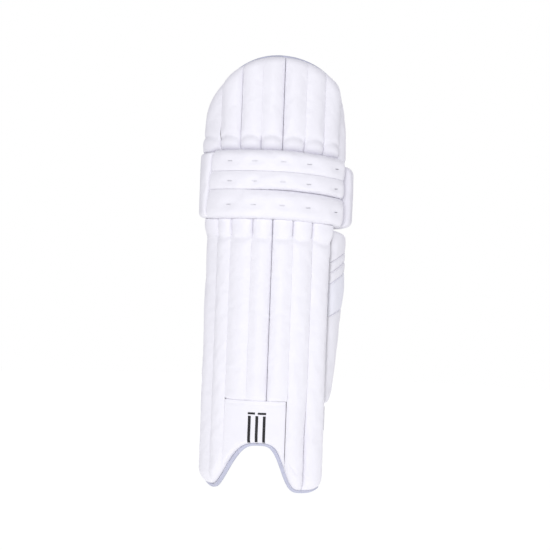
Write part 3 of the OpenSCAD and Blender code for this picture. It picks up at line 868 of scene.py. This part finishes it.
# Wing pads and the flap at the ankle
for i in range(5):
    rows = max(11, int((WING_SEAMS[i + 1] - WING_SEAMS[i]) / 4))
    s, t = np.meshgrid(positions(24, 0.7), positions(rows, 0.8))
    u = lerp(0.02, 0.98, s)
    low, high = wing_z(i, u) + 0.02, wing_z(i + 1, u) - 0.02 + (4.5 if i == 4 else 0)
    z = lerp(low, high, t)
    up = bulge(t, 0.45 if i == 0 else 0.88, 0.7 if i == 4 else 0.88, 0.06, 8)
    across = ending(s * 84, 9, 0.8) * ending((1 - s) * 84, 9, 0.35)
    full = wing_thick(u) - 2.0 + 3.5 * (1 - smooth(0.45, 0.68, u))
    w = 1.6 + full * up * across + 0.25 * ripple(WING.run(u), z, 150 + i, 40)
    add_cushion(f"wing_pad_cover_{i + 1}", WING, u, z, w, 1.6 + 0 * w, swell=1.4)

s, t = np.meshgrid(positions(24, 0.4), positions(26, 0.5))
low, high = 62 + 20 * s**3, 149 - 2 * s
z = lerp(low, high, t)
w = (FLAP_W - 0.6) * ending(z - low, 5, 0.4) * ending(high - z, 5, 0.4)
w = w * ending(s * 76, 5, 0.4) * ending((1 - s) * 76, 5, 0.4)
add_cushion("ankle_flap_cover", FLAP, s, z, w, 0 * w, swell=0.5)

inflate([c for c in cushions.values() if c.name not in ("ankle_flap_cover", "instep_cushion")])

built = {name: cushion.build() for name, cushion in cushions.items()}

for i in range(7):
    cover = dress(built[f"shin_cover_{i + 1}"], LEATHER, "pad", f"shin_channel_{i + 1}")
    cover = dress(built[f"top_cover_{i + 1}"], LEATHER, None, f"top_channel_{i + 1}")
    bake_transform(cover)

OTHER_NODE = {
    "top_side_cover": "top_side_panel",
    "knee_cap_inner": "knee_end_inner",
    "knee_cap_outer": "knee_end_outer",
    "instep_cushion": "instep_panel",
}
# The outer knee cap wears the darker copy of the leather, which is painted shade.
OTHER_LEATHER = {"knee_cap_outer": LEATHER_PAINTED_SHADE, "ankle_flap_cover": LEATHER_SOFT}
OTHER_BODY = {"top_side_cover": None, "top_bolster_cover": "top_hat"}


def is_bolster(name):
    return "bolster" in name or "cup" in name


# Leather covers first, then the fabric bolsters; channels and wing pads have loops of their own
for name in sorted(built, key=is_bolster):
    if name.startswith(("shin_cover", "top_cover", "wing_pad")):
        continue
    node = OTHER_NODE.get(name, name.replace("_cover", ""))
    material = BOLSTER if is_bolster(name) else OTHER_LEATHER.get(name, LEATHER)
    cover = dress(built[name], material, OTHER_BODY.get(name, "pad"), node)
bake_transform(built["top_side_cover"])
for i in range(5):
    look = LEATHER_SOFT if i == 1 else LEATHER
    pad = dress(built[f"wing_pad_cover_{i + 1}"], look, "side_wing", "wing_pads")

# Foam inside the channels, a little lower than the skins
for prefix, form, channel, body in (
    ("shin", SHIN, shin_channel, "pad"),
    ("top", TOP, top_channel, "top_hat"),
):
    cores = []
    for i in range(7):
        u, z, w = channel(i, lowered=3.2)
        w = np.maximum(FACE_W + 0.6, w)
        cores.append(slab(f"core_{i}", form, u, z, w, FACE_W + 0.1 + 0 * w))
    piece = joined(f"{prefix}_foam", cores)
    dress(piece, FOAM, body, f"{prefix}_foam_cores")

knee_foams = []
for i in range(3):
    u, t = np.meshgrid(np.linspace(-60, 54, 30), np.linspace(0, 1, 9))
    z = lerp(KNEE_SEAMS[i] + 3, KNEE_SEAMS[i + 1] - 3, t) + droop(u)
    knee_foams.append(slab(f"knee_foam_{i}", SHIN, u, z, FACE_W + 2.8 + 0 * u, FACE_W + 0 * u))
piece = joined("knee_roll_packing", knee_foams)
dress(piece, FOAM, "pad", "knee_roll_foam")


# ---------------------------------------------------------------------------------------------
# Backing, lining and bindings
# ---------------------------------------------------------------------------------------------
def shell_sheet(name, form, seams, low, high, w0, w1, rows):
    u, t = np.meshgrid(np.linspace(seams[0], seams[-1], 110), np.linspace(0, 1, rows))
    z = lerp(low(u), high(u), t)
    return slab(name, form, u, z, w1 + 0 * u, w0 + 0 * u), u, z


def dome_edge(a):
    return dome(a) - BINDING_W - 0.4


def flat_size(grid):
    """Width and height of a sheet laid flat, and its area, in metres, from its points."""
    across, up = np.diff(grid, axis=1) * MM, np.diff(grid, axis=0) * MM
    width = float(np.linalg.norm(across, axis=-1).sum(1).max())
    height = float(np.linalg.norm(up, axis=-1).sum(0).max())
    area = float(np.linalg.norm(np.cross(across[:-1], up[:, :-1]), axis=-1).sum())
    return (round(width, 3), round(height, 3)), round(area, 4)


for prefix, form, seams, low, high, body in (
    ("shin", SHIN, SHIN_SEAMS, shell_foot, shell_top, "pad"),
    ("top", TOP, TOP_SEAMS, top_low, dome_edge, "top_hat"),
):
    rows = 90 if prefix == "shin" else 40
    sheet, u, z = shell_sheet(f"{prefix}_back_board", form, seams, low, high, 1.9, 4.4, rows)
    dress(sheet, BACKING, body, f"{prefix}_backing")
    cloth, u, z = shell_sheet(f"{prefix}_lining_cloth", form, seams, low, high, 0, 1.5, rows)
    dress(cloth, LINING, body, f"{prefix}_lining")
    size, area = flat_size(form.at(u, z, 0.7))


def binding(name, form, path, width, w0, w1, round_share=0.45, around=14):
    """Binding tape folded round an edge. path is its edge as (angle, z) points, and the panel lies
    to the left of it as it goes."""
    path = np.asarray(path, float)
    place = np.stack([form.run(path[:, 0]), path[:, 1]], -1)
    inward = -to_right(place)
    turn = np.linspace(0, math.tau, around, endpoint=False)
    power = 2 / 3.4
    ring_d = width / 2 * (1 - np.sign(np.cos(turn)) * np.abs(np.cos(turn)) ** power)
    lift = 0.5 + 0.5 * np.sign(np.sin(turn)) * np.abs(np.sin(turn)) ** power
    w1 = np.broadcast_to(w1, len(path))
    ring_w = w0 + (w1[:, None] - w0) * lift[None, :]
    spot = place[:, None, :] + inward[:, None, :] * ring_d[None, :, None]
    u = np.degrees(spot[..., 0] / form.radius)
    rings = form.at(u, spot[..., 1], np.broadcast_to(ring_w, u.shape))
    length = distance_along(place)
    across = np.concatenate([[0], np.cumsum(np.hypot(np.diff(ring_d), np.diff(ring_w[0])))])
    uv = np.stack(np.broadcast_arrays(across[None, :], length[:, None]), -1).reshape(-1, 2)
    return sweep(name, rings, uv)


def even_path(points, step):
    """Points spaced evenly along a line through (angle, z) points, in shin millimetres."""
    points = np.asarray(points, float)
    place = np.stack([SHIN.run(points[:, 0]), points[:, 1]], -1)
    length = distance_along(place)
    at = np.linspace(0, length[-1], max(2, int(length[-1] / step)))
    return np.stack([np.interp(at, length, points[:, 0]), np.interp(at, length, points[:, 1])], -1)


angles = np.linspace(-95.6, 55.7, 400)
foot = np.stack([angles, outline_low(shell_x(angles))], -1)
inner_rise = np.stack([np.full(12, -95.8), np.linspace(26, foot[0, 1] + 1, 12)], -1)
outer_rise = np.stack([np.full(20, 55.9), np.linspace(foot[-1, 1] + 1, 52, 20)], -1)
arch = even_path(np.concatenate([inner_rise, foot, outer_rise]), 3)
reach = binding_reach(arch[:, 0])
arch_tape = binding("instep_edge_binding", SHIN, arch, BINDING_W + 0.2, -0.2, reach)
dress(arch_tape, BINDING, "pad", "instep_binding")

edge = np.stack([np.full(90, -98.2), np.linspace(458, 28, 90)], -1)
edge_tape = binding("inner_side_binding", SHIN, edge, 3.2, -0.2, FACE_W + 6)
dress(edge_tape, EDGE_TAPE, "pad", "inner_edge_binding")

angles = np.linspace(TOP_SEAMS[-1], TOP_SEAMS[0], 400)
over = np.stack([angles, dome(angles)], -1)
right = np.stack([np.full(30, 92.3), np.linspace(597, dome(92.0) - 2, 30)], -1)
left = np.stack([np.full(30, -92.3), np.linspace(dome(-92.0) - 2, 597, 30)], -1)
hat_edge = even_path(np.concatenate([right, over, left]), 3)
hat_tape = binding("top_edge_binding", TOP, hat_edge, BINDING_W, -0.2, FACE_W + 3)
dress(hat_tape, BINDING, "top_hat", "top_binding")

u, z = np.meshgrid(np.linspace(0.02, 0.98, 40), np.linspace(0, 1, 60))
z = lerp(wing_z(0, u), wing_z(5, u), z)
wing_cloth = slab("wing_lining_cloth", WING, u, z, 1.2 + 0 * u, 0 * u)
dress(wing_cloth, LINING, "side_wing", "wing_lining")
size, area = flat_size(WING.at(u, z, 0.7))

turn = np.linspace(0, math.tau, 14, endpoint=False)
z = np.linspace(154, 438, 90)[:, None]
u = 1.002 + 0.018 * np.sign(np.cos(turn)) * np.abs(np.cos(turn)) ** 0.6
w = 4.4 + 4.6 * np.sign(np.sin(turn)) * np.abs(np.sin(turn)) ** 0.6
u, w = np.broadcast_to(u, (90, 14)), np.broadcast_to(w, (90, 14))
rings = WING.at(u, np.broadcast_to(z, u.shape), w)
uv = np.stack([np.broadcast_to(turn * 3, u.shape), np.broadcast_to(z, u.shape)], -1).reshape(-1, 2)
dress(sweep("wing_edge_binding", rings, uv), EDGE_TAPE, "side_wing", "wing_binding")


WEB_STEPS = np.linspace(0, 1, 9)[:, None, None]


def web(name, near, far, thick):
    """A strip of cloth between two rows of points, with its thickness towards the leg."""
    outer = lerp(near[None], far[None], WEB_STEPS)
    across = np.cross(outer[-1] - outer[0], np.gradient(outer[0], axis=0))
    across /= np.linalg.norm(across, axis=-1, keepdims=True)
    outwards = np.sign((outer.mean(0) * across)[:, :2].sum(-1))
    inner = outer - across[None] * (outwards[None, :, None] * thick)
    flat = np.stack(np.broadcast_arrays(np.arange(len(near))[None, :] * 3.0, WEB_STEPS[..., 0] * 20), -1)
    points = np.concatenate([outer.reshape(-1, 3), inner.reshape(-1, 3)])
    flat = flat.reshape(-1, 2)
    return make_object(name, points, closed_faces(*outer.shape[:2]), np.concatenate([flat, flat]))


# Cloth hinges: the top hat's to the shell, and the wing's and the ankle flap's to the shell's edge
def hinge_cloth(name, near, far, thick, body):
    """A hinge strip dressed in lining cloth."""
    strip = dress(web(name, near, far, thick), LINING, body, ())
    return strip


HAT_SEAM_W = 9
a = np.linspace(-88, 55, 90)
near, far = SHIN.at(a, shell_top(a) - HAT_SEAM_W, -0.3), TOP.at(a, top_low(a) + HAT_SEAM_W, -0.3)
hat_hinge = hinge_cloth("top_flex_cloth", near, far, 1.1, None)
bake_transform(hat_hinge)


def side_hinge_edges(panel, z):
    """The shell's outer edge and a side panel's front edge, on their leg sides."""
    return SHIN.at(54.4, z, 1.2), panel.at(0.05, z, 0.4)


near, far = side_hinge_edges(WING, np.linspace(152, 440, 60))
wing_hinge = hinge_cloth("wing_hinge_cloth", near, far, 1.0, None)
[tuple(p * MM) for p in side_hinge_edges(WING, 300)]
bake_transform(wing_hinge)
near, far = side_hinge_edges(FLAP, np.linspace(68, 147, 20))
hinge_cloth("flap_hinge_cloth", near, far, 1.0, "pad")


# ---------------------------------------------------------------------------------------------
# Straps
# ---------------------------------------------------------------------------------------------
def bezier(p, t):
    t = np.asarray(t, float)[:, None]
    p = [np.asarray(q, float) for q in p]
    return p[0] * (1 - t) ** 3 + 3 * p[1] * t * (1 - t) ** 2 + 3 * p[2] * t**2 * (1 - t) + p[3] * t**3


def ribbon(name, line, z, width, thick, around=20):
    """An upright strap along a line in plan, with soft edges."""
    line = np.asarray(line, float)
    turn = np.linspace(0, math.tau, around, endpoint=False) + math.pi / around
    side = thick / 2 * np.sign(np.cos(turn)) * np.abs(np.cos(turn)) ** 0.35
    high = width / 2 * np.sign(np.sin(turn)) * np.abs(np.sin(turn)) ** 0.35
    spot = line[:, None, :] + to_right(line)[:, None, :] * side[None, :, None]
    rings = np.concatenate([spot, np.broadcast_to(z + high, spot.shape[:2])[..., None]], -1)
    length = distance_along(line)
    uv = np.stack(np.broadcast_arrays(high[None, :], length[:, None]), -1).reshape(-1, 2)
    return sweep(name, rings, uv)


LANDING = {
    "ankle": (FLAP, lambda u: FLAP_W + 0 * u, "pad"),
    "calf": (WING, wing_thick, "side_wing"),
    "knee": (CAP, cap_thick, "pad"),
}


def landing(strap, u, z, w):
    panel, thick, _ = LANDING[strap]
    return panel.at(u, z, thick(np.asarray(u, float)) + w)


def strap_ends(strap):
    z = STRAP_Z[strap]
    panel = LANDING[strap][0]
    _, ahead = panel.back(z)
    edge = landing(strap, 1.0, z, 2.0)[:2]
    return SHIN.at(-99.5, z, -3)[:2], edge + 13 * ahead - np.array([6, 0])


def patch(name, strap, w0, w1, trim):
    u, z = np.meshgrid(np.linspace(0.745, 0.9, 14), np.linspace(-1, 1, 12))
    half = STRAP_W / 2 - trim
    outer = landing(strap, u, STRAP_Z[strap] + half * z, w1 + 0 * u)
    inner = landing(strap, u, STRAP_Z[strap] + half * z, w0 + 0 * u)
    flat = np.stack([u * 88, half * z], -1).reshape(-1, 2)
    points = np.concatenate([outer.reshape(-1, 3), inner.reshape(-1, 3)])
    return make_object(name, points, closed_faces(*u.shape), np.concatenate([flat, flat]))


strap_lines = {}
for strap, z in STRAP_Z.items():
    start, end = strap_ends(strap)
    line = bezier([start, start + [-4, 58], end + [-40, 18], end], np.linspace(0, 1, 60))
    strap_lines[strap] = line
    body = f"{strap}_strap"
    dress(ribbon(f"{strap}_strap_web", line, z, STRAP_W, STRAP_T), WEBBING, body, body)
    panel, _, landing_body = LANDING[strap]
    _, ahead = panel.back(z)
    tip = landing(strap, 1.0, z, 3.9)[:2]
    turned = bezier([end + [1.6, -0.6], end + [7, -3], tip + 9 * ahead, tip], np.linspace(0, 0.97, 16))
    back = np.linspace(1, 0.73, 24)
    flat = landing(strap, back, z, 3.9 - 1.4 * smooth(0.8, 0.73, back))[:, :2]
    tab = ribbon(f"{strap}_tab_web", np.concatenate([turned, flat]), z, STRAP_W, STRAP_T)
    dress(tab, WEBBING, f"{strap}_tab", f"{strap}_tab")
    hook = patch(f"{strap}_hook_face", strap, 1.5, 2.4, 3)
    dress(hook, HOOKS, f"{strap}_tab", f"{strap}_hook_patch")
    loop = patch(f"{strap}_loop_face", strap, 0.2, 1.2, 1)
    dress(loop, LOOPS, landing_body, f"{strap}_loop_patch")

line = strap_lines["calf"]
inside = line + to_right(line) * 5.5
calf_pad = ribbon("calf_pad_cover", inside[15:45], STRAP_Z["calf"], 78, 7.4, around=36)
dress(calf_pad, BOLSTER, "calf_strap", "calf_pad")

anchors = []
for z in STRAP_Z.values():
    u, t = np.meshgrid(np.linspace(-98.5, -84, 16), np.linspace(-1, 1, 14))
    anchors.append(slab("anchor", SHIN, u, z + 25 * t, -0.3 + 0 * u, -1.8 + 0 * u))
dress(joined("strap_anchor_patches", anchors), LEATHER_SOFT, "pad", "strap_anchors")


# ---------------------------------------------------------------------------------------------
# Things that lie on the finished skins: bar tacks, stitches and the printed mark
# ---------------------------------------------------------------------------------------------
def tree_of(objects):
    points, faces = [], []
    for obj in objects:
        base = len(points)
        points += [v.co.copy() for v in obj.data.vertices]
        faces += [[base + i for i in p.vertices] for p in obj.data.polygons]
    return BVHTree.FromPolygons(points, faces)


def settled(tree, surface, u, z, lift, reach=60):
    """Points of a surface moved onto the skins in tree, seen from outside, lifted by lift."""
    far, near = surface.at(u, z, float(reach)), surface.at(u, z, 0.0)
    placed = np.empty(far.shape)
    for index in np.ndindex(far.shape[:-1]):
        out = Vector(far[index] - near[index]).normalized()
        hit = tree.ray_cast(Vector(far[index] * MM), -out)[0]
        placed[index] = np.array((hit if hit else Vector(near[index] * MM)) + out * lift * MM) / MM
    return placed


def tube(name, line, radius, around=6):
    """A round thread along a line of points."""
    line = np.asarray(line, float)
    ahead = heading(line)
    up = np.cross(ahead, [0.31, 0.17, 0.94])
    up /= np.linalg.norm(up, axis=1, keepdims=True)
    other = np.cross(ahead, up)
    turn = np.linspace(0, math.tau, around, endpoint=False)
    rings = line[:, None, :] + radius * (up[:, None, :] * np.cos(turn)[None, :, None]
        + other[:, None, :] * np.sin(turn)[None, :, None])
    return sweep(name, rings)


roll_tree = tree_of([built[f"knee_roll_cover_{part}"] for part in ("lower", "middle", "upper")])
tacks = []
for i in range(3):
    for a in TACK_ANGLES:
        middle = (KNEE_SEAMS[i] + KNEE_SEAMS[i + 1]) / 2 - 2 + float(droop(np.array(a)))
        k = np.arange(21)
        run = (k - 10) * 0.3
        u = a + np.degrees(run / 88)
        z = middle + np.where(k % 2 == 0, 0.9, -0.9)
        tacks.append(tube(f"tack_{i}_{len(tacks)}", settled(roll_tree, KNEE, u, z, 0.15), 0.24, 5))
dress(joined("knee_bar_tacks", tacks), TACK_THREAD, "pad", "knee_tacks")


def stitches(name, line, pitch=4.2, share=0.62, radius=0.3):
    """A row of machine stitches along a line of points: short threads sunk at both ends."""
    line = np.asarray(line, float)
    length = distance_along(line)
    row = []
    for k in range(int(length[-1] / pitch)):
        at = pitch * (k + 0.5 + share * np.linspace(-0.5, 0.5, 4))
        points = np.stack([np.interp(at, length, line[:, j]) for j in range(3)], -1)
        row.append(tube("stitch", points, radius, 5))
    return joined(name, row)


def stitched_path(name, form, path, tape, material, body, node):
    """Stitches settled onto a finished tape along a path of (angle, z) points."""
    line = settled(tree_of([tape]), form, path[:, 0], path[:, 1], 0.12)
    dress(stitches(name, line), material, body, node)


def inset(form, path, distance):
    """A path moved to its left by a distance in millimetres."""
    place = np.stack([form.run(path[:, 0]), path[:, 1]], -1)
    place = place - distance * to_right(place)
    return np.stack([np.degrees(place[:, 0] / form.radius), place[:, 1]], -1)


stitched_path("instep_edge_stitches", SHIN, inset(SHIN, arch, 3.9), arch_tape, THREAD, "pad",
    "instep_binding")
stitched_path("top_edge_stitches", TOP, inset(TOP, hat_edge, 4.0), hat_tape, THREAD, "top_hat",
    "top_binding")
wing_tree = tree_of([built[f"wing_pad_cover_{i + 1}"] for i in range(5)])
u = np.linspace(0.05, 0.93, 60)
for i in range(1, 5):
    for side, z in (("below", wing_z(i, u) - 2.4), ("above", wing_z(i, u) + 2.4)):
        row = stitches(f"wing_seam_{i}_{side}", settled(wing_tree, WING, u, z, 0.0))
        dress(row, THREAD, "side_wing", "wing_pads")
for strap, z in STRAP_Z.items():
    line = strap_lines[strap]
    for face, out in (("inside", STRAP_T / 2), ("outside", -STRAP_T / 2)):
        face_line = line + to_right(line) * out
        rows = []
        for edge_z in (z - STRAP_W / 2 + 3.5, z + STRAP_W / 2 - 3.5):
            placed = np.column_stack([face_line, np.full(len(line), edge_z)])
            rows.append(stitches("row", placed[2:-2]))
        seam = joined(f"{strap}_strap_stitches_{face}", rows)
        dress(seam, THREAD, f"{strap}_strap", f"{strap}_strap")
boxes = []
for z in STRAP_Z.values():
    corners = [(-97, -22), (-86, -22), (-86, 22), (-97, 22), (-97, -22), (-86, 22), (-86, -22), (-97, 22)]
    corners = np.array(corners, float)
    at = np.linspace(0, len(corners) - 1, 120)
    a = np.interp(at, np.arange(len(corners)), corners[:, 0])
    up = np.interp(at, np.arange(len(corners)), corners[:, 1])
    boxes.append(stitches("box", SHIN.at(a, z + up, -1.9)))
dress(joined("strap_anchor_stitches", boxes), THREAD, "pad", "strap_anchors")


def mark(name, shapes):
    """A thin print on the instep cushion. Each shape is (left, right, low, high) in millimetres."""
    tree = tree_of([built["instep_cushion"]])
    parts = []
    for left, right, low, high in shapes:
        cols, rows = max(3, int((right - left) / 1.2) + 2), max(3, int((high - low) / 2.0) + 2)
        x, z = np.meshgrid(np.linspace(left, right, cols), np.linspace(low, high, rows))
        u = np.degrees(np.arcsin(x / 106))
        outer, inner = (settled(tree, SHIN, u, z, lift) for lift in (0.28, 0.02))
        flat = np.stack([x, z], -1).reshape(-1, 2)
        points = np.concatenate([outer.reshape(-1, 3), inner.reshape(-1, 3)])
        parts.append(make_object("bar", points, closed_faces(rows, cols), np.concatenate([flat, flat])))
    return joined(name, parts)


stumps = [(-35 + 12 * k, -30.5 + 12 * k, 82, 132) for k in range(3)]
bails = [(-35.5, -24, 134.5, 138), (-19.5, -6, 134.5, 138)]
dress(mark("print_mark", stumps + bails), INK, "pad", ())


# ---------------------------------------------------------------------------------------------
# Floor, light and camera
# ---------------------------------------------------------------------------------------------
scene = bpy.context.scene
scene.view_settings.view_transform = "Standard"

floor_points = [(math.cos(t) * 2500, math.sin(t) * 2500, 0) for t in np.linspace(0, math.tau, 49)[:-1]]
floor = make_object("floor", np.array(floor_points), [list(range(48))])
floor.location.z = cad_box[0].z - 0.0015
floor_look = bpy.data.materials.new("floor_white")
floor_look.use_nodes = True
nodes, links = floor_look.node_tree.nodes, floor_look.node_tree.links
nodes.clear()
glow = nodes.new("ShaderNodeEmission")
glow.inputs["Strength"].default_value = 0.86
matte = nodes.new("ShaderNodeBsdfDiffuse")
matte.inputs["Color"].default_value = (0.22, 0.22, 0.22, 1)
both = nodes.new("ShaderNodeAddShader")
links.new(glow.outputs[0], both.inputs[0])
links.new(matte.outputs[0], both.inputs[1])
links.new(both.outputs[0], nodes.new("ShaderNodeOutputMaterial").inputs["Surface"])
floor.data.materials.append(floor_look)

world = bpy.data.worlds.new("studio")
world.use_nodes = True
scene.world = world
nodes, links = world.node_tree.nodes, world.node_tree.links
nodes.clear()
fill = nodes.new("ShaderNodeBackground")
fill.inputs["Color"].default_value = (0.95, 0.945, 1.0, 1)
fill.inputs["Strength"].default_value = 0.58
plain = nodes.new("ShaderNodeBackground")
plain.inputs["Color"].default_value = (1, 1, 1, 1)
seen = nodes.new("ShaderNodeLightPath")
choose = nodes.new("ShaderNodeMixShader")
links.new(seen.outputs["Is Camera Ray"], choose.inputs[0])
links.new(fill.outputs[0], choose.inputs[1])
links.new(plain.outputs[0], choose.inputs[2])
links.new(choose.outputs[0], nodes.new("ShaderNodeOutputWorld").inputs["Surface"])


def softbox(name, place, aim, size, power, colour=(1, 1, 1)):
    light = bpy.data.lights.new(name, "AREA")
    light.shape = "RECTANGLE"
    light.size, light.size_y = size
    light.energy = power
    light.color = colour
    obj = bpy.data.objects.new(name, light)
    obj.location = place
    obj.rotation_euler = (Vector(aim) - Vector(place)).to_track_quat("-Z", "Y").to_euler()
    scene.collection.objects.link(obj)


softbox("key", (-0.4, -2.6, 0.8), (0, 0, 0.4), (1.1, 1.1), 24)
softbox("side", (2.2, -0.9, 0.5), (0, 0, 0.4), (1.0, 1.0), 3.5)
softbox("back", (0.4, 2.6, 1.5), (0, 0, 0.4), (1.8, 1.8), 20)

CAMERA_PLACE = Vector((0.0, -2.295, 0.373))
CAMERA_ROLL = math.radians(2.1)
lens = bpy.data.cameras.new("camera")
lens.sensor_width = 36
lens.lens = 84.7
camera = bpy.data.objects.new("camera", lens)
camera.matrix_world = (Matrix.Translation(CAMERA_PLACE) @ Matrix.Rotation(math.radians(90), 4, "X")
    @ Matrix.Rotation(CAMERA_ROLL, 4, "Z"))
scene.collection.objects.link(camera)
scene.camera = camera
